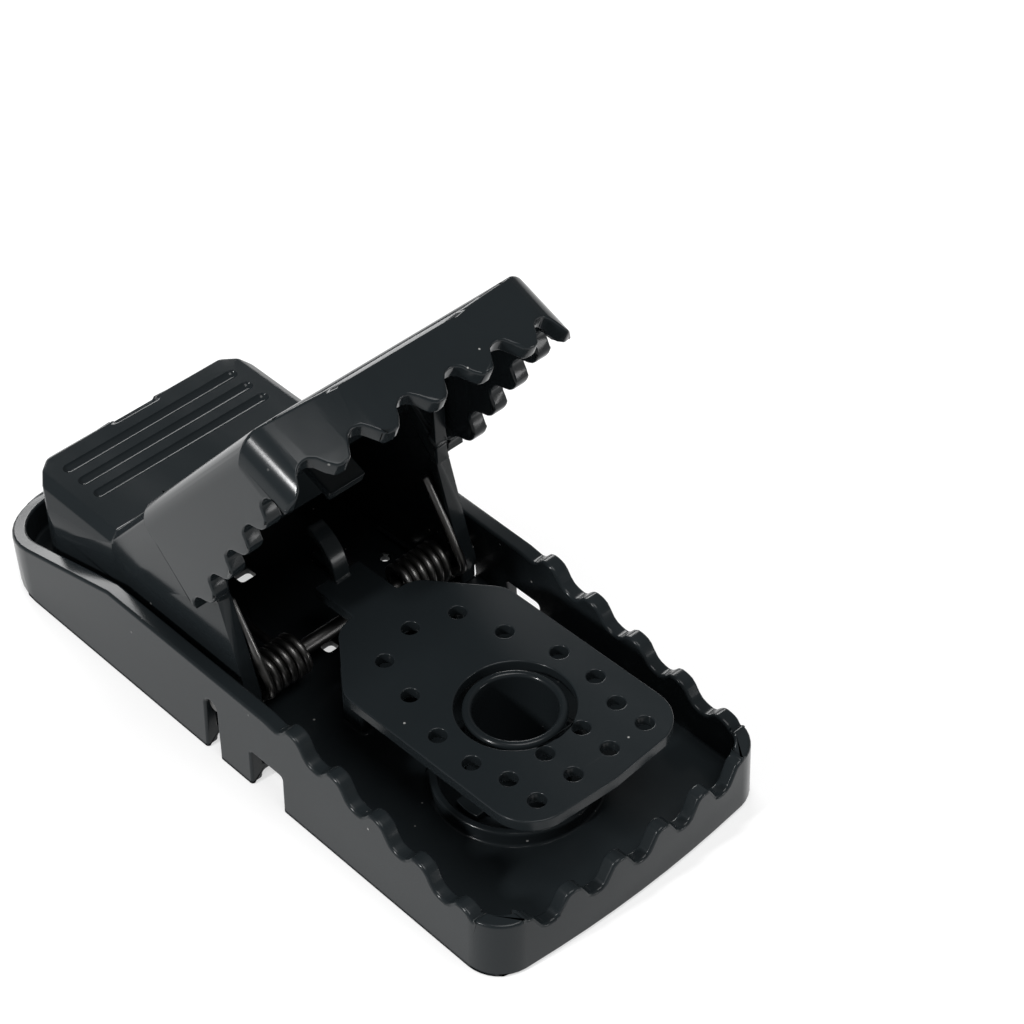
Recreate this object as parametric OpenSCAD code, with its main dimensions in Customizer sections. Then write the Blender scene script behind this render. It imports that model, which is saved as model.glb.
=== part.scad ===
// Snap mouse trap, shown set: a toothed base tray, a toothed jaw moulded in one
// piece with its press pedal, a perforated trigger plate with a hook, a bait cup,
// a main axle, two torsion springs and a trigger pin.
// +X points to the mouth, +Z up; the origin is the middle of the foot.

/* [Base tray] */
// Length over the rear rim and the bowed front
base_l = 98; // [96:0.5:100]
// Width of the foot
base_w = 43.6; // [43:0.2:45]
// Height of the side rim beside the axle
rim_z = 13; // [12.8:0.1:13.4]
// Height of the rear rim
rear_rim_z = 6; // [5.6:0.1:6.6]
// How far the front wall bows out past its corners
front_bow = 0.9; // [0.6:0.1:1.2]
// Height of the underside of the floor
floor_z = 1; // [0.9:0.05:1.2]
// Thickness of the floor
floor_t = 1.4; // [1.2:0.1:1.4]

/* [Teeth] */
// Distance from tooth to tooth along the sides
side_pitch = 7.25; // [7.2:0.05:7.3]
// Distance from tooth to tooth along the front
front_pitch = 6.9; // [6.8:0.05:7]
// Height of a side tooth over its gap
side_tooth_h = 2.1; // [1.6:0.1:2.2]
// Height of a front tooth over its gap
front_tooth_h = 2.8; // [2.4:0.1:3]
// Gap between the two rows of teeth when the jaw is shut
tooth_gap = 0.4; // [0.35:0.05:0.6]

/* [Jaw and pedal] */
// Angle that the jaw swings from set to shut
open_deg = 69.5; // [69:0.5:70]
// Width over the toothed side walls
jaw_w = 42.4; // [42:0.1:42.6]
// Width over the pedal's skirt and the hinge arms
skirt_w = 36.4; // [36.2:0.1:37]
// Width of the pedal's pressing face
pedal_w = 31.6; // [30:0.2:32]
// Height of the pedal's pressing face when the trap is set
pedal_z = 16.4; // [16:0.1:16.8]
// Slope of the jaw's roof when it is shut
roof_deg = 20.6; // [20:0.1:21]

/* [Trigger plate and bait cup] */
// Width of the trigger plate
plate_w = 26; // [25:0.2:27]
// Upward tilt of the set trigger plate towards the mouth
plate_tilt = 1.7; // [1:0.1:2.2]
// Outer radius of the bait cup
cup_r = 5.9; // [5.7:0.05:6]
// Height of the bait cup's rim
cup_z = 14.8; // [14:0.1:15]

/* [Axle and springs] */
// Radius of the main axle
axle_r = 1; // [0.95:0.01:1.02]
// Radius of the spring wire
wire_r = 0.55; // [0.5:0.01:0.58]
// Turns of each torsion spring
spring_turns = 6; // [5:1:6]

/* [Hidden] */
$fn = 48;

// Places
front_x = base_l / 2 - front_bow;
rear_x = -base_l / 2;
axle_x = -2.05;
axle_z = 7.6;
cup_x = 28;
trigger_x = 8.2;
trigger_z = 10.9;
floor_top = floor_z + floor_t;

// Base tray
wall_foot = 1.7;
wall_rim = 2.2;
wall_draft = 0.4;
rear_draft = 1.4;
front_corner_r = 5;
rear_corner_r = 9.5;
loft_z = 15.5;
rim_bend_x = -21.6;
first_tooth_x = 13.2;
corner_x = front_x - 4.2;
tooth_slope = 0.18;
front_mid_z = 6.9;
corner_rim_z = front_mid_z + front_tooth_h / 2 + 0.1;
tooth_sharpness = 1.5;
slot_half_w = 1.05;
notch_x = [5.2, 10.9];
notch_z = 5.6;
post_y = [7, 8.4];

// Jaw, in the shut position and measured from the axle
jaw_t = 2.2;
roof_t = 2;
edge_round = 2.6;
roof_edge_r = 2.8;
jaw_front = front_x + front_bow - axle_x;
jaw_roof_front = 6.8;
jaw_corner_drop = 2.7;
heel = [13.4, 6];
ramp_step = 0.3;
arm_t = 1.5;
hub_r = 3.1;
hub_bore = axle_r + 0.07;

// Pedal, in the set position
pedal_x = [-43.8, -28.8];
skirt_foot_z = 3;
groove_pitch = 3.15;

// Trigger plate
plate_t = 1.6;
plate_front_x = 44.5;
plate_side_x = 12;
plate_hole_r = 1.1;
cup_clearance_r = 7.2;
trigger_pin_r = 0.75;
hook_r = 5.6;

// Springs
coil_r = 2.4;
leg_tip = [-4.3, 19.6];
coil_pitch = 2 * wire_r + 0.08;
coil_outer_y = 15.4;

// Tooth wave: 1 on a tooth, -1 in a gap, with steep flanks and broad ends.
function tanh(v) = (exp(v) - exp(-v)) / (exp(v) + exp(-v));
function wave(t) = tanh(tooth_sharpness * cos(360 * t)) / tanh(tooth_sharpness);

// Height of the side rim along the toothed length, and of the front rim.
function side_z(x) = rim_z + 0.2 - tooth_slope * (x - first_tooth_x)
    + side_tooth_h / 2 * wave((x - first_tooth_x) / side_pitch);
function front_z(y) = front_mid_z - front_tooth_h / 2 * wave(y / front_pitch);

// Turns a point about the axle from the shut to the set position.
function open_point(p) = [
    axle_x + p[0] * cos(open_deg) - p[1] * sin(open_deg),
    axle_z + p[0] * sin(open_deg) + p[1] * cos(open_deg)];

// Stands a side view up: the outline's x and y become X and Z, and it is w wide.
module side_slab(w) {
    rotate([90, 0, 0]) linear_extrude(w, center = true) children();
}

// Runs a front view along X, from x0 to x1: the outline's x and y become Y and Z.
module front_slab(x0, x1) {
    translate([x0, 0, 0]) rotate([90, 0, 90]) linear_extrude(x1 - x0) children();
}

// Swings a shape built shut, about the origin, to its place on the set trap.
module set_open() {
    translate([axle_x, 0, axle_z]) rotate([0, -open_deg, 0]) children();
}

function arc(c, r, a0, a1, n) = [for (i = [0:n]) let (a = a0 + (a1 - a0) * i / n) c + r * [cos(a), sin(a)]];

// Plan of the tray: round corners and a front that bows out in the middle.
function tray_plan(rear, half_w, rear_r, inset) = let (
        f = front_x - inset, h = half_w - inset, rr = rear_r - inset, fr = front_corner_r - inset)
    concat(
        arc([rear + inset + rr, -h + rr], rr, 180, 270, 10),
        arc([f - fr, -h + fr], fr, 270, 352, 8),
        [for (i = [-3:3]) [f + front_bow * (1 - pow(i / 4, 2)), i / 4 * (h - fr)]],
        arc([f - fr, h - fr], fr, 8, 90, 8),
        arc([rear + inset + rr, h - rr], rr, 90, 180, 10));

// Tray block between its foot and a level over the rim, drawn in by an inset.
module tray_block(foot_inset, rim_inset, z0) {
    hull() {
        translate([0, 0, z0]) linear_extrude(0.01)
            polygon(tray_plan(rear_x + rear_draft, base_w / 2, rear_corner_r, foot_inset));
        translate([0, 0, loft_z]) linear_extrude(0.01)
            polygon(tray_plan(rear_x - rear_draft, base_w / 2 - wall_draft,
                rear_corner_r + rear_draft, rim_inset));
    }
}

// Side view of everything over the rim line.
module over_side_rim() {
    wave_n = 60;
    x0 = first_tooth_x - side_pitch / 2;
    polygon(concat(
        [[rear_x - 9, 30], [rear_x - 9, rear_rim_z], [rear_x + 1.2, rear_rim_z], [rim_bend_x, rim_z],
            [x0 - 1.5, rim_z]],
        [for (i = [0:wave_n]) let (x = x0 + (corner_x - x0) * i / wave_n) [x, side_z(x)]],
        [[corner_x + 0.1, corner_rim_z], [front_x + 9, corner_rim_z], [front_x + 9, 30]]));
}

// Front view of everything over the front teeth, between the two corners.
module over_front_rim() {
    half_w = 2.5 * front_pitch;
    n = 60;
    polygon(concat(
        [[-half_w, 30]],
        [for (i = [0:n]) let (y = -half_w + 2 * half_w * i / n) [y, front_z(y)]],
        [[half_w, 30]]));
}

module tray_walls() {
    difference() {
        tray_block(0, 0, 0);
        tray_block(wall_foot, wall_rim, -0.1);
        side_slab(base_w + 10) over_side_rim();
        front_slab(corner_x, front_x + 5) over_front_rim();
    }
}

module tray_floor() {
    intersection() {
        tray_block(wall_foot / 2, wall_rim / 2, -0.1);
        translate([rear_x, -base_w / 2, floor_z]) cube([base_l, base_w, floor_t]);
    }
}

// Slot for the axle, open at the foot, and the square notch in front of it, in both walls.
module wall_openings() {
    for (side = [-1, 1]) translate([0, side * base_w / 2, 0]) {
        side_slab(7) {
            polygon([[axle_x - 1.2, -1], [axle_x - slot_half_w, axle_z],
                [axle_x + slot_half_w, axle_z], [axle_x + 1.2, -1]]);
            translate([notch_x[0], -1]) square([notch_x[1] - notch_x[0], notch_z + 1]);
        }
        translate([axle_x, 0, axle_z]) rotate([90, 0, 0])
            cylinder(r = slot_half_w, h = 7, center = true);
    }
}

// Openings in the floor: cup seat with two lug ways, mould openings and ring of lightening holes.
module floor_openings() {
    translate([cup_x, 0, 0]) {
        cylinder(r = cup_r + 0.4, h = 6);
        intersection() {
            cylinder(r = 8.5, h = 6);
            translate([-9, -2.4, 0]) cube([18, 4.8, 6]);
        }
    }
    translate([-22.3, -2.1, 0]) cube([1.8, 2.4, 6]);
    translate([-5.1, -2.3, 0]) cube([1.6, 1.8, 6]);
    for (side = [-1, 1]) translate([-11.4, side * 14, 0]) cylinder(r = 0.6, h = 6);
}

// Post that holds one end of the trigger pin.
module pin_post() {
    translate([trigger_x, 0, 0]) rotate([90, 0, 0]) {
        translate([0, trigger_z]) cylinder(r = 1.9, h = post_y[1] - post_y[0]);
        translate([-1.9, floor_top - 0.2]) cube([3.8, trigger_z - floor_top + 0.2, post_y[1] - post_y[0]]);
    }
}

module base_tray() {
    color([0.045, 0.05, 0.055]) difference() {
        union() {
            difference() {
                union() {
                    tray_walls();
                    tray_floor();
                }
                wall_openings();
            }
            translate([cup_x, 0, floor_top - 0.2]) difference() {
                cylinder(r = 10.4, h = 2.2);
                translate([0, 0, -1]) cylinder(r = 9.3, h = 4);
            }
            for (side = [-1, 1]) translate([0, side > 0 ? post_y[1] : -post_y[0], 0]) pin_post();
            for (side = [-1, 1]) spring_ledge(side);
        }
        floor_openings();
        translate([trigger_x, 0, trigger_z]) rotate([90, 0, 0])
            cylinder(r = trigger_pin_r + 0.02, h = 2 * post_y[1] + 2, center = true);
    }
}

// Low ledge that the fixed leg of a spring bears on.
module spring_ledge(side) {
    translate([-17, side * 8.1 - 1.6, floor_top - 0.2]) cube([4, 3.2, 2.1]);
}

// Shut side view of the toothed shell over its teeth, drawn in by an inset.
module jaw_side_view(inset) {
    rise = tan(roof_deg);
    f = jaw_front - inset;
    top_f = jaw_roof_front - inset / cos(roof_deg) + inset * rise;
    r = edge_round - inset;
    a = 90 - roof_deg;
    // Centre of the round between the roof and the front wall.
    c = [f - r, top_f - r * (1 / cos(roof_deg) - rise)];
    back = [heel[0] + inset, -9];
    polygon(concat(
        [back, [heel[0] + inset, heel[1]], [heel[0] + 3.9 + inset, heel[1] + 9.1],
            [heel[0] + 5 + inset, top_f + (f - heel[0] - 5 - inset) * rise]],
        arc(c, r, a, 0, 8),
        [[f, -9]]));
}

// Cross-section of the shell square to its roof, with rounded upper edges.
module jaw_cross_view(inset) {
    h = jaw_w / 2 - inset;
    r = roof_edge_r - inset;
    polygon(concat(
        [[h, -60]], arc([h - r, -r], r, 0, 90, 8),
        arc([-h + r, -r], r, 90, 180, 8), [[-h, -60]]));
}

// Toothed shell, solid, shut, about the axle.
module jaw_block(inset) {
    intersection() {
        side_slab(jaw_w + 2) jaw_side_view(inset);
        translate([jaw_front, 0, jaw_roof_front - inset]) rotate([0, roof_deg, 0])
            front_slab(-70, 20) jaw_cross_view(inset);
        translate([-axle_x, 0, -20]) linear_extrude(60)
            polygon(tray_plan(-70, jaw_w / 2, rear_corner_r, inset));
    }
}

// Everything under the teeth of the shut jaw, which follow the rim of the tray.
module under_jaw_teeth() {
    n = 60;
    x0 = first_tooth_x - side_pitch / 2;
    translate([-axle_x, 0, tooth_gap - axle_z]) {
        side_slab(base_w + 4) polygon(concat(
            [[-30, -30], [-30, heel[1] + axle_z - 0.6], [x0 - 0.4, heel[1] + axle_z - 0.6]],
            [for (i = [0:n]) let (x = x0 + (corner_x - x0) * i / n) [x, side_z(x)]],
            [[corner_x, -30]]));
        front_slab(corner_x - 0.01, front_x + 9) polygon(concat(
            [[-40, -30], [-40, corner_rim_z - jaw_corner_drop], [-3 * front_pitch, corner_rim_z - jaw_corner_drop]],
            [for (i = [0:n]) let (y = (i / n - 0.5) * 5.8 * front_pitch) [y, front_z(y)]],
            [[3 * front_pitch, corner_rim_z - jaw_corner_drop], [40, corner_rim_z - jaw_corner_drop], [40, -30]]));
    }
}

// Web across the middle of the jaw that strikes over the plate.
module strike_web() {
    intersection() {
        jaw_block(roof_t / 2);
        translate([20.6, -2.75, 6.4]) cube([2.2, 5.5, 30]);
    }
}

module toothed_jaw() {
    difference() {
        union() {
            difference() {
                jaw_block(0);
                jaw_block(jaw_t);
                under_jaw_teeth();
            }
            strike_web();
        }
        // The shell is open behind, where the narrow part joins it.
        side_slab(skirt_w - 2 * arm_t - 1) polygon([[0, -9], [0, 11], [heel[0] + 8, 13.5], [heel[0] + 8, -9]]);
    }
}

// Set side view of the pedal, the ramp under the roof and the hinge arms.
module narrow_side_view(inset) {
    roof_set = open_deg - roof_deg;
    top = open_point([jaw_front, jaw_roof_front - ramp_step]);
    n_off = inset / cos(roof_set);
    function roof_x(z) = top[0] - (top[1] - z) / tan(roof_set);
    zp = pedal_z - inset;
    z_hi = 38;
    polygon([
        [pedal_x[0] + inset + 0.9, zp], [roof_x(zp + n_off), zp],
        [roof_x(z_hi + n_off), z_hi], [roof_x(z_hi) + 4, z_hi],
        [-3 - inset, 22.2], [axle_x + hub_r - inset, axle_z + 1],
        [axle_x + hub_r - inset, axle_z - hub_r], [-16, skirt_foot_z],
        [pedal_x[0] - 0.5 + inset, skirt_foot_z], [pedal_x[0] - 0.5 + inset, 9],
        [pedal_x[0] + inset, zp - 1]]);
}

// Cross-section of the pedal: flared skirt, bevelled edge and flat top.
module pedal_cross_view(inset, top) {
    half = [skirt_w / 2 - inset, skirt_w / 2 - inset, pedal_w / 2 + 1.2 - inset, pedal_w / 2 - inset];
    level = [-60, top - 5.4, top - 0.9, top];
    polygon(concat(
        [for (i = [0:3]) [-half[i], level[i]]],
        [for (i = [3:-1:0]) [half[i], level[i]]]));
}

// Plan of the pedal, with its rear corners rounded, as a tall block.
module pedal_plan_block(inset) {
    h = skirt_w / 2 + 0.1 - inset;
    r = 9 - inset;
    rear = pedal_x[0] - 0.5 + inset;
    linear_extrude(70) polygon(concat(
        arc([rear + r, h - r], r, 90, 180, 8), arc([rear + r, -h + r], r, 180, 270, 8), [[30, -h], [30, h]]));
}

// Pedal, ramp and arms, solid, in the set position.
module narrow_block(inset) {
    top = open_point([jaw_front, jaw_roof_front - ramp_step]);
    intersection() {
        side_slab(skirt_w + 2) narrow_side_view(inset);
        pedal_plan_block(inset);
        union() {
            front_slab(-60, 20) pedal_cross_view(inset, pedal_z - inset);
            translate([top[0], 0, top[1]]) rotate([0, roof_deg - open_deg, 0])
                front_slab(-80, 0) pedal_cross_view(inset, -inset);
        }
    }
}

module pedal_grooves() {
    mid = (pedal_x[0] + pedal_x[1]) / 2;
    for (i = [-1:1]) translate([mid + i * groove_pitch, 0, pedal_z + 0.5]) rotate([90, 0, 0]) {
        cylinder(r = 1, h = 26, center = true);
        for (end = [-13, 13]) translate([0, 0, end]) sphere(r = 1);
    }
    translate([pedal_x[0] - 1, -3.4, pedal_z - 1.1]) cube([2.6, 6.8, 4]);
}

// Web behind the hook of the trigger plate, in the set position.
module catch_web() {
    side_slab(8) polygon([[-13.2, 20.6], [-10.2, 20.6], [-9.4, 21.6], [-9.4, 33], [-13.2, 30]]);
}

module jaw_and_pedal() {
    color([0.04, 0.045, 0.05]) difference() {
        union() {
            set_open() toothed_jaw();
            difference() {
                narrow_block(0);
                difference() {
                    narrow_block(arm_t);
                    catch_web();
                }
                // The arms are open below and towards the mouth.
                side_slab(skirt_w - 2 * arm_t - 1) polygon([[pedal_x[0] + 0.7, 2], [pedal_x[0] + 0.7, 9],
                    [-30, 9], [-9, 20], [-4, 44], [12, 40], [12, 2]]);
            }
            for (side = [-1, 1]) translate([axle_x, side * (skirt_w - arm_t) / 2, axle_z])
                rotate([90, 0, 0]) cylinder(r = hub_r, h = arm_t + 0.6, center = true);
        }
        pedal_grooves();
        translate([axle_x, 0, axle_z]) rotate([90, 0, 0])
            cylinder(r = hub_bore, h = base_w, center = true);
    }
}

// Plan of the trigger plate: round front corners and a tapered rear.
module plate_plan() {
    h = plate_w / 2;
    r = 5.5;
    polygon(concat(
        arc([plate_front_x - r - 0.5, -h + r], r, 270, 350, 8),
        [[plate_front_x, 0]],
        arc([plate_front_x - r - 0.5, h - r], r, 10, 90, 8),
        arc([plate_side_x + 2, h - 4], 4, 90, 130, 4),
        arc([7.5, 4], 4, 120, 180, 5),
        arc([7.5, -4], 4, 180, 240, 5),
        arc([plate_side_x + 2, -h + 4], 4, 230, 270, 4)));
}

// Middles of the small holes on one side of the plate, and of the one on its middle line.
plate_holes = concat(
    [[9.8, 0]],
    [for (side = [-1, 1], p = [[11.8, 5.8], [18.2, 7.5], [25.3, 9.6], [31.2, 9.8],
        [36, 8.5], [36, 2.85], [40.6, 8.5], [40.6, 2.85]]) [p[0], side * p[1]]]);

// Curved hook that stands up behind the plate.
module hook() {
    c = [-8.5, 14.3];
    side_slab(2.4) {
        polygon(concat(arc(c, hook_r + 0.5, -8, 78, 12), arc(c, hook_r - 0.5, 78, -8, 12)));
    }
    side_slab(2.4) polygon([[-4, 12.9], [-2.2, 12.9], [-2.2, 14.4], [-3.6, 14.4]]);
}

module trigger_plate() {
    cup_level = 15.1;
    color([0.035, 0.04, 0.045]) difference() {
        union() {
            translate([cup_x, 0, cup_level]) rotate([0, -plate_tilt, 0]) translate([-cup_x, 0, -plate_t])
                difference() {
                    union() {
                        linear_extrude(plate_t) plate_plan();
                        translate([-3.6, -3.5, 0]) cube([10, 7, plate_t]);
                    }
                    for (p = plate_holes) translate([p[0], p[1], -1]) cylinder(r = plate_hole_r, h = 4);
                    translate([cup_x, 0, -1]) cylinder(r = cup_clearance_r, h = 4);
                }
            hook();
            for (side = [-1, 1]) translate([trigger_x, side * 5.9, trigger_z]) rotate([90, 0, 0]) {
                cylinder(r = 1.9, h = 1.6, center = true);
                translate([-1.9, 0, -0.8]) cube([3.8, 3, 1.6]);
            }
        }
        translate([trigger_x, 0, trigger_z]) rotate([90, 0, 0])
            cylinder(r = trigger_pin_r + 0.06, h = 30, center = true);
    }
}

module bait_cup() {
    color([0.035, 0.04, 0.045]) translate([cup_x, 0, 0]) difference() {
        union() {
            rotate_extrude() polygon([[0, 0.1], [8.6, 0.1], [8.6, floor_z - 0.15], [cup_r, floor_z - 0.15],
                [cup_r, cup_z - 1.2], [cup_r + 0.3, cup_z - 0.9], [cup_r + 0.3, cup_z - 0.3],
                [cup_r, cup_z], [cup_r - 0.5, cup_z], [cup_r - 0.8, cup_z - 0.3],
                [cup_r - 1, floor_top + 1.4], [0, floor_top + 1.4]]);
            intersection() {
                translate([0, 0, floor_top + 0.15]) cylinder(r = 8.2, h = 1);
                translate([-1.8, -9, 0]) cube([3.6, 18, 6]);
            }
        }
        translate([-5, -0.7, -0.1]) cube([10, 1.4, 0.9]);
    }
}

module main_axle() {
    color([0.7, 0.7, 0.72]) translate([axle_x, 0, axle_z]) rotate([90, 0, 0])
        cylinder(r = axle_r, h = base_w - 1.6, center = true);
}

module trigger_pin() {
    color([0.7, 0.7, 0.72]) translate([trigger_x, 0, trigger_z]) rotate([90, 0, 0])
        cylinder(r = trigger_pin_r, h = 2 * post_y[1] + 0.6, center = true);
}

// Path of the left spring's wire: rear leg on its ledge, coil, bend, then the leg that drives the jaw.
sweep_deg = 360 * spring_turns + 70;
coil_len = sweep_deg / 360 * coil_pitch;
coil_inner_y = coil_outer_y - coil_len;
coil_steps = 20 * spring_turns;
function coil_point(i) = let (a = -90 + sweep_deg * i / coil_steps)
    [axle_x + coil_r * cos(a), coil_inner_y + coil_len * i / coil_steps, axle_z + coil_r * sin(a)];
spring_path = concat(
    [[axle_x - 14, coil_inner_y, axle_z - coil_r]],
    [for (i = [0:coil_steps]) coil_point(i)],
    [for (p = [[0.9, 7.4], [1.9, 8.3], [2.1, 9.1], [1.7, 10.2], leg_tip]) [p[0], coil_outer_y, p[1]]]);

function unit(v) = v / norm(v);
function path_dir(p, i) = unit(p[min(i + 1, len(p) - 1)] - p[max(i - 1, 0)]);

// Round wire along a path, as rings of points joined by faces.
module wire(path, r, sides = 8) {
    last = len(path) - 1;
    rings = [for (i = [0:last]) let (
            d = path_dir(path, i),
            c = [path[i][0] - axle_x, 0, path[i][2] - axle_z],
            u = unit(c - d * (c * d)),
            v = cross(d, u))
        for (k = [0:sides - 1]) path[i] + r * (u * cos(360 * k / sides) + v * sin(360 * k / sides))];
    faces = concat(
        [[for (k = [sides - 1:-1:0]) k]],
        [for (i = [0:last - 1], k = [0:sides - 1]) let (a = i * sides + k, b = i * sides + (k + 1) % sides)
            [a, b, b + sides, a + sides]],
        [[for (k = [0:sides - 1]) last * sides + k]]);
    polyhedron(rings, faces);
}

module left_torsion_spring() {
    color([0.62, 0.6, 0.58]) wire(spring_path, wire_r);
}

module right_torsion_spring() {
    color([0.62, 0.6, 0.58]) mirror([0, 1, 0]) wire(spring_path, wire_r);
}

base_tray();
jaw_and_pedal();
trigger_plate();
bait_cup();
main_axle();
left_torsion_spring();
right_torsion_spring();
trigger_pin();
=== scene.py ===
"""Snap mouse trap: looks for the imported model, built in its frame, in metres."""
import math

import bpy
from mathutils import Matrix, Vector


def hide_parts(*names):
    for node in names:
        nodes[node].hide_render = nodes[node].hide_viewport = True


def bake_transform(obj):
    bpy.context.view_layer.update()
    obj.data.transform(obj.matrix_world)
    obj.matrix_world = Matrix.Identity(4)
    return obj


MM = 0.001

# The axle's middle and the springs, as in the model.
AXLE = Vector((-2.05, 0.0, 7.6)) * MM
COIL_RADIUS = 2.4 * MM
COIL_PITCH = 1.18 * MM
COIL_OUTER_Y = 15.4 * MM
COIL_SWEEP = math.radians(360 * 6 + 70)
WIRE_RADIUS = 0.55 * MM
FOOT_LENGTH = 14.0 * MM
COIL_LENGTH = COIL_SWEEP / (2 * math.pi) * COIL_PITCH
COIL_INNER_Y = COIL_OUTER_Y - COIL_LENGTH
# Points along the foot, the coil and the leg, and round the wire.
FOOT_STEPS = 9
COIL_STEPS = 300
LEG_STEPS = 10
WIRE_SIDES = 14
# Side view of the bend after the coil and of the leg's tip, in millimetres.
LEG_BEND = [(0.3, 6.9), (0.9, 7.4), (1.9, 8.3), (2.1, 9.1), (1.7, 10.2)]
LEG_TIP = (-4.3, 19.6)

# Middle and half size, in millimetres, of the boxes round the pedal's grooves and the jaw's hubs.
JAW_PLAIN_ZONES = [((-36.3, 0.0, 16.2), (4.7, 14.4, 0.9)), ((0.0, 0.0, 8.0), (3.3, 18.8, 9.0))]
# Edges sharper than the first angle get a radius, and faces within the second are one flat.
SHARP_ANGLE = math.radians(30)
FLAT_ANGLE = math.radians(1)
FACET_GAP = 0.004 * MM
# How strongly large faces set the shading of the corners they share.
LARGE_FACE_WEIGHT = 95

# Camera: place, the point it aims at, its roll and its lens.
CAMERA_AT = (0.2047, -0.1614, 0.2667)
CAMERA_AIM = (-0.0104, 0.03195, 0.0)
CAMERA_ROLL = -1.47
CAMERA_LENS = 105.75
CAMERA_SHIFT = (0.018, -0.004)

FLOOR_SIZE = 6
FLOOR_GLOW = 0.58
WORLD_LIGHT = 0.18
# Each softbox: its name, place, target, width and height, and power in watts.
SOFTBOXES = [
    ("overhead", (0.25, 0.0, 0.85), (0, 0, 0), (0.5, 0.5), 5.0),
    ("left strip", (-0.06, -0.73, 0.52), (0, 0, 0.03), (0.06, 0.12), 5.5),
    ("behind", (-0.72, 0.42, 0.36), (0, 0, 0.03), (0.5, 0.3), 4.5),
    ("low front", (0.75, 0.45, 0.1), (0.02, 0, 0.02), (0.25, 0.12), 1.2),
]


# ---------- materials ----------

class Graph:
    """A material's node tree, with short calls for the nodes used here."""

    def __init__(self, name):
        self.material = bpy.data.materials.new(name)
        self.material.use_nodes = True
        self.tree = self.material.node_tree
        self.shader = self.tree.nodes["Principled BSDF"]
        self.place = self.tree.nodes.new("ShaderNodeTexCoord").outputs["Object"]

    def link(self, source, target):
        self.tree.links.new(source, target)

    def noise(self, scale, detail=4.0, roughness=0.5, stretch=(1, 1, 1)):
        mapping = self.tree.nodes.new("ShaderNodeMapping")
        mapping.inputs["Scale"].default_value = stretch
        self.link(self.place, mapping.inputs["Vector"])
        node = self.tree.nodes.new("ShaderNodeTexNoise")
        node.inputs["Scale"].default_value = scale
        node.inputs["Detail"].default_value = detail
        node.inputs["Roughness"].default_value = roughness
        self.link(mapping.outputs["Vector"], node.inputs["Vector"])
        return node.outputs["Fac"]

    def specks(self, scale, size):
        """1 inside small scattered spots, 0 elsewhere."""
        node = self.tree.nodes.new("ShaderNodeTexVoronoi")
        node.inputs["Scale"].default_value = scale
        self.link(self.place, node.inputs["Vector"])
        return self.spread(node.outputs["Distance"], size, size * 0.6, 0.0, 1.0)

    def spread(self, value, low, high, to_low, to_high):
        node = self.tree.nodes.new("ShaderNodeMapRange")
        for key, number in (("From Min", low), ("From Max", high), ("To Min", to_low), ("To Max", to_high)):
            node.inputs[key].default_value = number
        self.link(value, node.inputs["Value"])
        return node.outputs["Result"]

    def times(self, a, b):
        node = self.tree.nodes.new("ShaderNodeMath")
        node.operation = "MULTIPLY"
        self.link(a, node.inputs[0])
        self.link(b, node.inputs[1])
        return node.outputs[0]

    def mix(self, factor, first, second):
        """Colour between two colours, each a tuple or another node's output."""
        node = self.tree.nodes.new("ShaderNodeMix")
        node.data_type = "RGBA"
        self.link(factor, node.inputs["Factor"])
        for socket, colour in ((node.inputs[6], first), (node.inputs[7], second)):
            if isinstance(colour, tuple):
                socket.default_value = (*colour, 1.0)
            else:
                self.link(colour, socket)
        return node.outputs[2]

    def bump(self, height, strength, distance):
        node = self.tree.nodes.new("ShaderNodeBump")
        node.inputs["Strength"].default_value = strength
        node.inputs["Distance"].default_value = distance
        self.link(height, node.inputs["Height"])
        self.link(node.outputs["Normal"], self.shader.inputs["Normal"])

    def finish(self, colour, roughness, **fixed):
        self.link(colour, self.shader.inputs["Base Color"])
        self.link(roughness, self.shader.inputs["Roughness"])
        for key, number in fixed.items():
            self.shader.inputs[key.replace("_", " ")].default_value = number
        return self.material


def moulded_black(name, tone, gloss):
    """Black moulded plastic: slightly uneven gloss, flow marks and a little dust."""
    g = Graph(name)
    cloud = g.noise(60, 5, 0.6)
    flow = g.noise(24, 3, 0.5, (1, 4, 1))
    dust = g.times(g.specks(330, 0.06), g.spread(g.noise(45, 2), 0.55, 0.62, 0.0, 1.0))
    dark = (tone * 0.7, tone * 0.88, tone * 0.98)
    light = (tone * 0.95, tone * 1.2, tone * 1.34)
    colour = g.mix(dust, g.mix(cloud, dark, light), (0.3, 0.3, 0.29))
    g.bump(g.noise(900, 6, 0.65), 0.12, 0.00003)
    return g.finish(colour, g.spread(flow, 0.3, 0.7, gloss - 0.05, gloss + 0.07), IOR=1.4,
                    Specular_IOR_Level=0.24)


def drawn_steel(name, tone, gloss, stretch):
    """Drawn steel: fine lines along the rod or wire and a faint warm tint in places."""
    g = Graph(name)
    lines = g.noise(900, 3, 0.6, stretch)
    tint = g.noise(150, 3)
    colour = g.mix(tint, (tone, tone, tone * 1.01), (tone * 0.86, tone * 0.83, tone * 0.78))
    g.bump(lines, 0.2, 0.00002)
    return g.finish(colour, g.spread(lines, 0.3, 0.7, gloss - 0.06, gloss + 0.08), Metallic=1.0)


def studio_white(name):
    """Pale floor that glows a little, as a lit table does."""
    g = Graph(name)
    colour = g.mix(g.noise(3, 2), (0.41, 0.41, 0.41), (0.43, 0.43, 0.43))
    g.shader.inputs["Emission Color"].default_value = (1, 1, 1, 1)
    g.shader.inputs["Emission Strength"].default_value = FLOOR_GLOW
    return g.finish(colour, g.spread(g.noise(8, 2), 0.3, 0.7, 0.6, 0.7))


# ---------- pieces ----------

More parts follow.
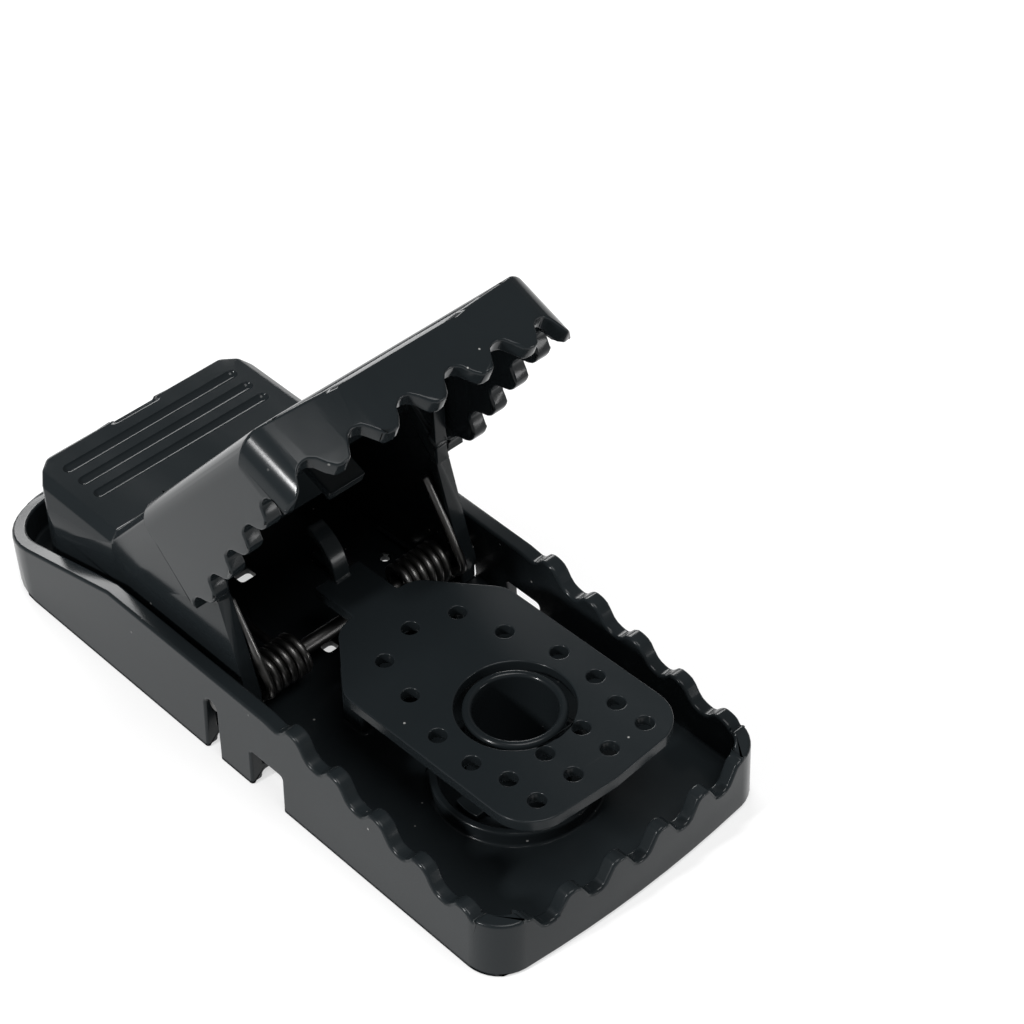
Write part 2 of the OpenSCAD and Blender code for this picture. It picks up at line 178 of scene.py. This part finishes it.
def edge_picker(name, angle, plain_zones):
    """Node group that smooths every face and marks the sharp edges that get a moulded radius.

    plain_zones are boxes whose edges stay sharp, each its middle and half size in millimetres.
    """
    group = bpy.data.node_groups.new(name, "GeometryNodeTree")
    for way in ("INPUT", "OUTPUT"):
        group.interface.new_socket("Geometry", in_out=way, socket_type="NodeSocketGeometry")

    def add(kind, **options):
        node = group.nodes.new(kind)
        for key, option in options.items():
            setattr(node, key, option)
        return node

    def calculate(operation, first, second):
        node = add("ShaderNodeMath", operation=operation)
        for socket, entry in zip(node.inputs, (first, second)):
            if isinstance(entry, (int, float)):
                socket.default_value = entry
            else:
                group.links.new(entry, socket)
        return node.outputs[0]

    share = calculate("GREATER_THAN", add("GeometryNodeInputMeshEdgeAngle").outputs["Unsigned Angle"], angle)
    soft = add("GeometryNodeSetShadeSmooth")
    group.links.new(add("NodeGroupInput").outputs[0], soft.inputs[0])
    if plain_zones:
        apart = add("ShaderNodeSeparateXYZ")
        group.links.new(add("GeometryNodeInputPosition").outputs[0], apart.inputs[0])
        covered = 0.0
        for middle, half in plain_zones:
            inside = 1.0
            for axis in range(3):
                offset = calculate("SUBTRACT", apart.outputs[axis], middle[axis] * MM)
                near = calculate("LESS_THAN", calculate("ABSOLUTE", offset, 0.0), half[axis] * MM)
                inside = calculate("MULTIPLY", near, inside)
            covered = calculate("MAXIMUM", inside, covered)
        crisp = add("GeometryNodeSetShadeSmooth", domain="EDGE")
        crisp.inputs["Shade Smooth"].default_value = False
        group.links.new(soft.outputs[0], crisp.inputs[0])
        group.links.new(calculate("MULTIPLY", share, covered), crisp.inputs["Selection"])
        share = calculate("MULTIPLY", share, calculate("SUBTRACT", 1.0, covered))
        soft = crisp
    store = add("GeometryNodeStoreNamedAttribute", data_type="FLOAT", domain="EDGE")
    store.inputs["Name"].default_value = "bevel_weight_edge"
    group.links.new(soft.outputs[0], store.inputs[0])
    group.links.new(share, store.inputs["Value"])
    group.links.new(store.outputs[0], add("NodeGroupOutput").inputs[0])
    return group


def round_edges(piece, width, segments, whole_flats, plain_zones):
    """Gives a piece's sharp edges a small moulded radius, by modifiers only.

    whole_flats first joins the triangles of each flat, which suits pieces with many holes.
    """
    weld = piece.modifiers.new("join facets", "WELD")
    weld.merge_threshold = FACET_GAP
    if whole_flats:
        flat = piece.modifiers.new("whole flats", "DECIMATE")
        flat.decimate_type = "DISSOLVE"
        flat.angle_limit = FLAT_ANGLE
    pick = piece.modifiers.new("pick edges", "NODES")
    pick.node_group = edge_picker(piece.name + " edges", SHARP_ANGLE, plain_zones)
    bevel = piece.modifiers.new("moulded edges", "BEVEL")
    bevel.width = width
    bevel.segments = segments
    bevel.limit_method = "WEIGHT"
    bevel.use_clamp_overlap = False
    bevel.miter_outer = "MITER_ARC"
    even = piece.modifiers.new("even shading", "WEIGHTED_NORMAL")
    even.weight = LARGE_FACE_WEIGHT
    even.keep_sharp = True


def paint(piece, material):
    piece.data.materials.clear()
    piece.data.materials.append(material)


def smooth(points, rounds=3):
    """Rounds the corners of a line of points by cutting them again and again."""
    for _ in range(rounds):
        cut = [points[0]]
        for a, b in zip(points, points[1:]):
            cut += [a.lerp(b, 0.25), a.lerp(b, 0.75)]
        points = cut + [points[-1]]
    return points


def spring_path():
    """Middle line of the left spring: foot, coil, then the leg that drives the jaw."""
    points = []
    for i in range(FOOT_STEPS):
        back = FOOT_LENGTH * (1 - i / FOOT_STEPS)
        points.append(AXLE + Vector((-back, COIL_INNER_Y, -COIL_RADIUS)))
    for i in range(COIL_STEPS):
        turn = -math.pi / 2 + COIL_SWEEP * i / COIL_STEPS
        y = COIL_INNER_Y + COIL_LENGTH * i / COIL_STEPS
        points.append(AXLE + Vector((COIL_RADIUS * math.cos(turn), y, COIL_RADIUS * math.sin(turn))))
    bend = [Vector((x * MM, COIL_OUTER_Y, z * MM)) for x, z in LEG_BEND]
    tip = Vector((LEG_TIP[0] * MM, COIL_OUTER_Y, LEG_TIP[1] * MM))
    leg = [bend[-1].lerp(tip, i / LEG_STEPS) for i in range(1, LEG_STEPS + 1)]
    return points + smooth(bend + leg[:1]) + leg[1:]


def wire_mesh(name, path, radius, sides):
    """Round wire along a path. Each row of points is a place, a step beyond it and a share of the radius."""
    vertices, faces = [], []
    last = len(path) - 1
    rows = [(0, -0.7, 0.55), (0, -0.25, 0.9)]
    rows += [(i, 0.0, 1.0) for i in range(last + 1)]
    rows += [(last, 0.25, 0.9), (last, 0.7, 0.55)]
    for i, along, share in rows:
        way = (path[min(i + 1, last)] - path[max(i - 1, 0)]).normalized()
        out = path[i] - AXLE
        out.y = 0
        out = (out - way * out.dot(way)).normalized()
        side = way.cross(out)
        for k in range(sides):
            a = 2 * math.pi * k / sides
            ring = out * math.cos(a) + side * math.sin(a)
            vertices.append(path[i] + way * along * radius + ring * radius * share)
    for r in range(len(rows) - 1):
        for k in range(sides):
            a, b = r * sides + k, r * sides + (k + 1) % sides
            faces.append((a, b, b + sides, a + sides))
    faces.append(tuple(range(sides - 1, -1, -1)))
    faces.append(tuple(range((len(rows) - 1) * sides, len(rows) * sides)))
    mesh = bpy.data.meshes.new(name)
    mesh.from_pydata(vertices, [], faces)
    mesh.update()
    piece = bpy.data.objects.new(name, mesh)
    bpy.context.collection.objects.link(piece)
    for face in mesh.polygons:
        face.use_smooth = True
    return piece


def torsion_spring(side, material):
    """Spring on one side of the trap; side is 1 for +Y and -1 for -Y."""
    node = {1: "left_torsion_spring", -1: "right_torsion_spring"}[side]
    path = [Vector((p.x, p.y * side, p.z)) for p in spring_path()]
    piece = wire_mesh(node + "_wire", path, WIRE_RADIUS, WIRE_SIDES)
    if side < 0:
        piece.data.flip_normals()
    paint(piece, material)
    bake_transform(piece)
    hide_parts(node)


# ---------- studio ----------

def aim(piece, at, target, roll=0.0):
    """Puts a lamp or camera at a point and turns it to look at another."""
    piece.location = at
    way = Vector(target) - Vector(at)
    turn = way.to_track_quat("-Z", "Y").to_matrix().to_4x4() @ Matrix.Rotation(math.radians(roll), 4, "Z")
    piece.rotation_euler = turn.to_euler()


def softbox(name, at, target, size, power):
    lamp = bpy.data.lights.new(name, "AREA")
    lamp.shape = "RECTANGLE"
    lamp.size, lamp.size_y = size
    lamp.energy = power
    piece = bpy.data.objects.new(name, lamp)
    bpy.context.collection.objects.link(piece)
    aim(piece, at, target)


def studio():
    bpy.ops.mesh.primitive_plane_add(size=FLOOR_SIZE, location=(0, 0, -0.0002))
    floor = bpy.context.object
    floor.name = "studio_floor"
    paint(floor, studio_white("studio white"))
    world = bpy.data.worlds.new("studio")
    world.use_nodes = True
    world.node_tree.nodes["Background"].inputs["Color"].default_value = (1, 1, 1, 1)
    world.node_tree.nodes["Background"].inputs["Strength"].default_value = WORLD_LIGHT
    scene = bpy.context.scene
    scene.world = world
    scene.view_settings.view_transform = "Standard"
    for name, at, target, size, power in SOFTBOXES:
        softbox(name, at, target, size, power)
    camera = bpy.data.objects.new("camera", bpy.data.cameras.new("camera"))
    bpy.context.collection.objects.link(camera)
    aim(camera, CAMERA_AT, CAMERA_AIM, CAMERA_ROLL)
    camera.data.lens = CAMERA_LENS
    camera.data.sensor_width = 36
    camera.data.shift_x, camera.data.shift_y = CAMERA_SHIFT
    scene.camera = camera


# ---------- the trap ----------

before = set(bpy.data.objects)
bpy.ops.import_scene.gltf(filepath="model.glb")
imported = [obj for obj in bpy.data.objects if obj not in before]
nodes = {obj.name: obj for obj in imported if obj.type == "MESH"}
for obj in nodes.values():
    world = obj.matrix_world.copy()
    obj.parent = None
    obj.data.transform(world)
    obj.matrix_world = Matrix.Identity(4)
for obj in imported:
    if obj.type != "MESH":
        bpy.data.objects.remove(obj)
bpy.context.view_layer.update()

tray_black = moulded_black("tray black", 0.014, 0.2)
jaw_black = moulded_black("jaw black", 0.014, 0.15)
plate_black = moulded_black("plate black", 0.014, 0.19)
cup_black = moulded_black("cup black", 0.012, 0.17)
zinc = drawn_steel("zinc rod", 0.14, 0.36, (1, 0.05, 1))
wire_steel = drawn_steel("spring wire", 0.17, 0.36, (1, 1, 1))

# Each CAD node's material, edge radius in millimetres, radius steps, whole flats and plain zones.
for node, material, width, segments, whole_flats, plain_zones in (
        ("base_tray", tray_black, 0.4, 4, True, []),
        ("jaw_and_pedal", jaw_black, 0.3, 3, False, JAW_PLAIN_ZONES),
        ("trigger_plate", plate_black, 0.18, 3, True, []),
        ("bait_cup", cup_black, 0.15, 3, True, []),
        ("main_axle", zinc, 0.15, 3, True, []),
        ("trigger_pin", zinc, 0.15, 3, True, [])):
    paint(nodes[node], material)
    round_edges(nodes[node], width * MM, segments, whole_flats, plain_zones)
for side in (1, -1):
    torsion_spring(side, wire_steel)

studio()
